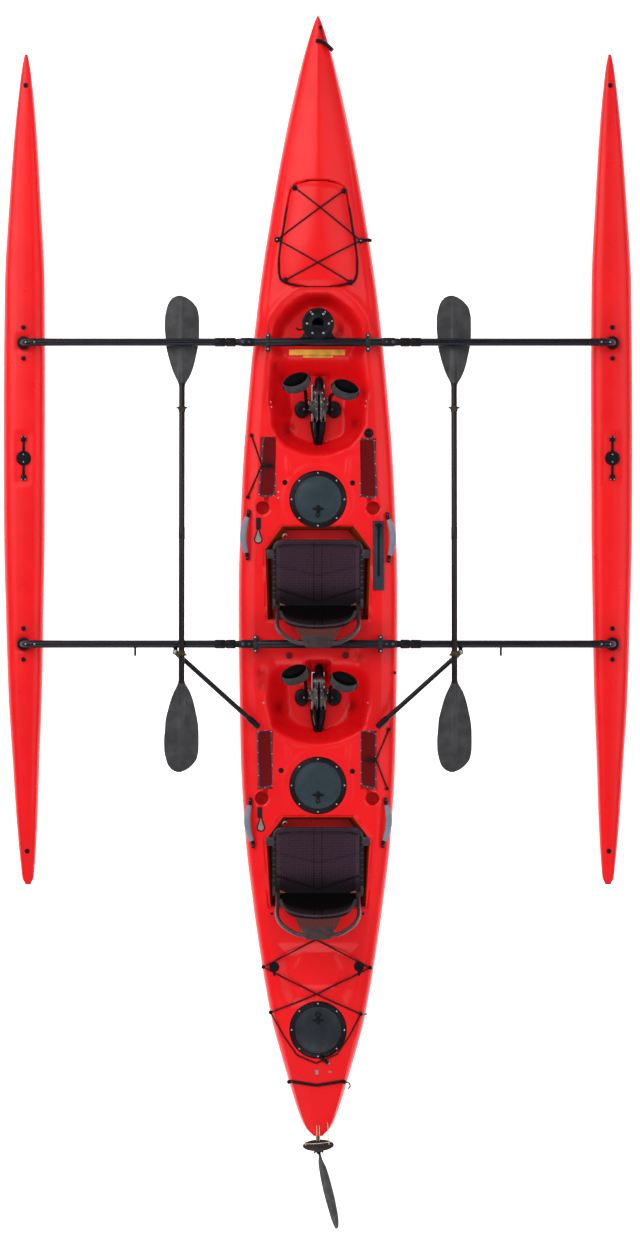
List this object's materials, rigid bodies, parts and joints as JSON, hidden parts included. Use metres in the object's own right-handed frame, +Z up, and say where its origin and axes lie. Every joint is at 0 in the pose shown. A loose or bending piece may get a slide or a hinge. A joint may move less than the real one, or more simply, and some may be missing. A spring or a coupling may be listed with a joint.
{
  "type": "pedal sailing trimaran",
  "caption": "Tandem pedal trimaran: decked centre hull, outriggers on folding arms, pedal drives with fins, mesh seats, round hatches, a mast socket and a kick-up rudder.",
  "frame": {"origin": "amidships on the centre line, at the waterline", "axes": "+X starboard, +Y towards the bow, +Z up"},
  "size_m": [3.183, 6.1184, 1.1934],
  "materials": {
    "hull_red": "rotomoulded, glossy, fine pebble",
    "black_tube": "black anodised tube",
    "black_plastic": "moulded, matt",
    "slate_plastic": "moulded, matt slate blue",
    "grip_grey": "soft grip, matt blue-grey",
    "seat_mesh": "open mesh cloth, padded edges",
    "seat_tube_grey": "dark coated tube",
    "pocket_mesh": "dark red netting",
    "drive_metal": "cast, satin",
    "pedal_grey": "moulded, matt",
    "fin_rubber": "flexible, matt",
    "blade_grey": "dark grey, smooth"
  },
  "bodies": {
    "hull": {"hull": "hull_red", "carry_handle_front_left": "grip_grey", "carry_handle_front_right": "grip_grey", "carry_handle_rear_left": "grip_grey", "carry_handle_rear_right": "grip_grey", "drive_front_frame": "drive_metal", "drive_rear_frame": "drive_metal", "front_crossbar": "black_tube", "mast_step": "black_plastic", "mesh_pocket_front_left": "pocket_mesh", "mesh_pocket_front_right": "pocket_mesh", "mesh_pocket_rear_left": "pocket_mesh", "mesh_pocket_rear_right": "pocket_mesh", "rear_crossbar": "black_tube", "round_hatch_front_lid": "slate_plastic", "round_hatch_front_ring": "black_plastic", "round_hatch_middle_lid": "slate_plastic", "round_hatch_middle_ring": "black_plastic", "round_hatch_stern_lid": "slate_plastic", "round_hatch_stern_ring": "black_plastic", "rudder_bracket": "black_plastic", "seat_front_frame": "seat_tube_grey", "seat_front_pan": "seat_mesh", "seat_rear_frame": "seat_tube_grey", "seat_rear_pan": "seat_mesh", "steering_handle": "slate_plastic"},
    "front_arm_left": {"front_arm_left": "black_tube"},
    "rear_arm_left": {"rear_arm_left": "black_tube"},
    "ama_left": {"ama_left": "hull_red", "front_socket_left": "black_plastic", "rear_socket_left": "black_plastic", "ama_port_left": "black_plastic"},
    "brace_left": {"brace_left": "black_tube"},
    "paddle_left": {"paddle_left": "blade_grey"},
    "front_arm_right": {"front_arm_right": "black_tube"},
    "rear_arm_right": {"rear_arm_right": "black_tube"},
    "ama_right": {"ama_right": "hull_red", "front_socket_right": "black_plastic", "rear_socket_right": "black_plastic", "ama_port_right": "black_plastic"},
    "brace_right": {"brace_right": "black_tube"},
    "paddle_right": {"paddle_right": "blade_grey"},
    "pedal_front_left": {"pedal_front_left": "pedal_grey"},
    "pedal_front_right": {"pedal_front_right": "pedal_grey"},
    "fin_front_fore": {"fin_front_fore": "fin_rubber"},
    "fin_front_aft": {"fin_front_aft": "fin_rubber"},
    "seat_front_back": {"seat_front_back_frame": "seat_tube_grey", "seat_front_back_mesh": "seat_mesh"},
    "pedal_rear_left": {"pedal_rear_left": "pedal_grey"},
    "pedal_rear_right": {"pedal_rear_right": "pedal_grey"},
    "fin_rear_fore": {"fin_rear_fore": "fin_rubber"},
    "fin_rear_aft": {"fin_rear_aft": "fin_rubber"},
    "seat_rear_back": {"seat_rear_back_frame": "seat_tube_grey", "seat_rear_back_mesh": "seat_mesh"},
    "bow_hatch_lid": {"bow_hatch_lid": "hull_red"},
    "rudder_head": {"rudder_head": "black_plastic"},
    "rudder_blade": {"rudder_blade": "blade_grey"}
  },
  "joints": [
    {"name": "arm_fold_left", "type": "hinge", "parent": "hull", "child": "front_arm_left", "pos_m": [-0.378, 1.177, 0.31], "axis": [0, 0, 1], "range_deg": [0, 80]},
    {"name": "rear_arm_fold_left", "type": "hinge", "parent": "hull", "child": "rear_arm_left", "pos_m": [-0.378, -0.343, 0.31], "axis": [0, 0, 1], "range_deg": [0, 80]},
    {"name": "ama_swing_left", "type": "hinge", "parent": "front_arm_left", "child": "ama_left", "pos_m": [-1.487, 1.177, 0.235], "axis": [0, 0, 1], "range_deg": [-80, 0]},
    {"name": "brace_swing_left", "type": "hinge", "parent": "rear_arm_left", "child": "brace_left", "pos_m": [-0.718, -0.383, 0.31], "axis": [0, 0, 1], "range_deg": [-137.85, 0]},
    {"name": "paddle_swing_left", "type": "hinge", "parent": "rear_arm_left", "child": "paddle_left", "pos_m": [-0.686, -0.343, 0.345], "axis": [0, 0, 1], "range_deg": [-80, 0]},
    {"name": "arm_fold_right", "type": "hinge", "parent": "hull", "child": "front_arm_right", "pos_m": [0.378, 1.177, 0.31], "axis": [0, 0, -1], "range_deg": [0, 80]},
    {"name": "rear_arm_fold_right", "type": "hinge", "parent": "hull", "child": "rear_arm_right", "pos_m": [0.378, -0.343, 0.31], "axis": [0, 0, -1], "range_deg": [0, 80]},
    {"name": "ama_swing_right", "type": "hinge", "parent": "front_arm_right", "child": "ama_right", "pos_m": [1.487, 1.177, 0.235], "axis": [0, 0, -1], "range_deg": [-80, 0]},
    {"name": "brace_swing_right", "type": "hinge", "parent": "rear_arm_right", "child": "brace_right", "pos_m": [0.718, -0.383, 0.31], "axis": [0, 0, -1], "range_deg": [-137.85, 0]},
    {"name": "paddle_swing_right", "type": "hinge", "parent": "rear_arm_right", "child": "paddle_right", "pos_m": [0.686, -0.343, 0.345], "axis": [0, 0, -1], "range_deg": [-80, 0]},
    {"name": "pedal_front_left", "type": "hinge", "parent": "hull", "child": "pedal_front_left", "pos_m": [0, 0.8475, 0.118], "axis": [-1, 0, 0], "range_deg": [-21, 15]},
    {"name": "pedal_front_right", "type": "hinge", "parent": "hull", "child": "pedal_front_right", "pos_m": [0, 0.8475, 0.118], "axis": [-1, 0, 0], "range_deg": [-15, 21]},
    {"name": "fin_front_fore", "type": "hinge", "parent": "hull", "child": "fin_front_fore", "pos_m": [0, 0.8475, -0.18], "axis": [0, 1, 0], "range_deg": [-84, 60]},
    {"name": "fin_front_aft", "type": "hinge", "parent": "hull", "child": "fin_front_aft", "pos_m": [0, 0.8475, -0.18], "axis": [0, 1, 0], "range_deg": [-60, 84]},
    {"name": "seat_front_back_fold", "type": "hinge", "parent": "hull", "child": "seat_front_back", "pos_m": [0, -0.151, 0.22], "axis": [-1, 0, 0], "range_deg": [-5, 105]},
    {"name": "pedal_rear_left", "type": "hinge", "parent": "hull", "child": "pedal_rear_left", "pos_m": [0, -0.6155, 0.118], "axis": [-1, 0, 0], "range_deg": [-21, 15]},
    {"name": "pedal_rear_right", "type": "hinge", "parent": "hull", "child": "pedal_rear_right", "pos_m": [0, -0.6155, 0.118], "axis": [-1, 0, 0], "range_deg": [-15, 21]},
    {"name": "fin_rear_fore", "type": "hinge", "parent": "hull", "child": "fin_rear_fore", "pos_m": [0, -0.6155, -0.18], "axis": [0, 1, 0], "range_deg": [-84, 60]},
    {"name": "fin_rear_aft", "type": "hinge", "parent": "hull", "child": "fin_rear_aft", "pos_m": [0, -0.6155, -0.18], "axis": [0, 1, 0], "range_deg": [-60, 84]},
    {"name": "seat_rear_back_fold", "type": "hinge", "parent": "hull", "child": "seat_rear_back", "pos_m": [0, -1.604, 0.22], "axis": [-1, 0, 0], "range_deg": [-5, 105]},
    {"name": "bow_hatch", "type": "hinge", "parent": "hull", "child": "bow_hatch_lid", "pos_m": [0, 1.99, 0.338], "axis": [-1, 0, 0], "range_deg": [0, 105]},
    {"name": "rudder_steer", "type": "hinge", "parent": "hull", "child": "rudder_head", "pos_m": [0, -2.845, 0.13], "axis": [0, 0, 1], "range_deg": [-47.5, 42.5]},
    {"name": "rudder_kick_up", "type": "hinge", "parent": "rudder_head", "child": "rudder_blade", "pos_m": [0.00318, -2.91793, 0.125], "axis": [0.9772, 0.0427, -0.2079], "range_deg": [-34, 78]}
  ],
  "couplings": [
    {"joint": "rear_arm_fold_left", "follows": "arm_fold_left", "ratio": 1},
    {"joint": "ama_swing_left", "follows": "arm_fold_left", "ratio": -1},
    {"joint": "brace_swing_left", "follows": "arm_fold_left", "ratio": -1.723},
    {"joint": "paddle_swing_left", "follows": "arm_fold_left", "ratio": -1},
    {"joint": "rear_arm_fold_right", "follows": "arm_fold_right", "ratio": 1},
    {"joint": "ama_swing_right", "follows": "arm_fold_right", "ratio": -1},
    {"joint": "brace_swing_right", "follows": "arm_fold_right", "ratio": -1.723},
    {"joint": "paddle_swing_right", "follows": "arm_fold_right", "ratio": -1},
    {"joint": "pedal_front_right", "follows": "pedal_front_left", "ratio": -1},
    {"joint": "fin_front_fore", "follows": "pedal_front_left", "ratio": 4},
    {"joint": "fin_front_aft", "follows": "pedal_front_left", "ratio": -4},
    {"joint": "pedal_rear_right", "follows": "pedal_rear_left", "ratio": -1},
    {"joint": "fin_rear_fore", "follows": "pedal_rear_left", "ratio": 4},
    {"joint": "fin_rear_aft", "follows": "pedal_rear_left", "ratio": -4}
  ]
}
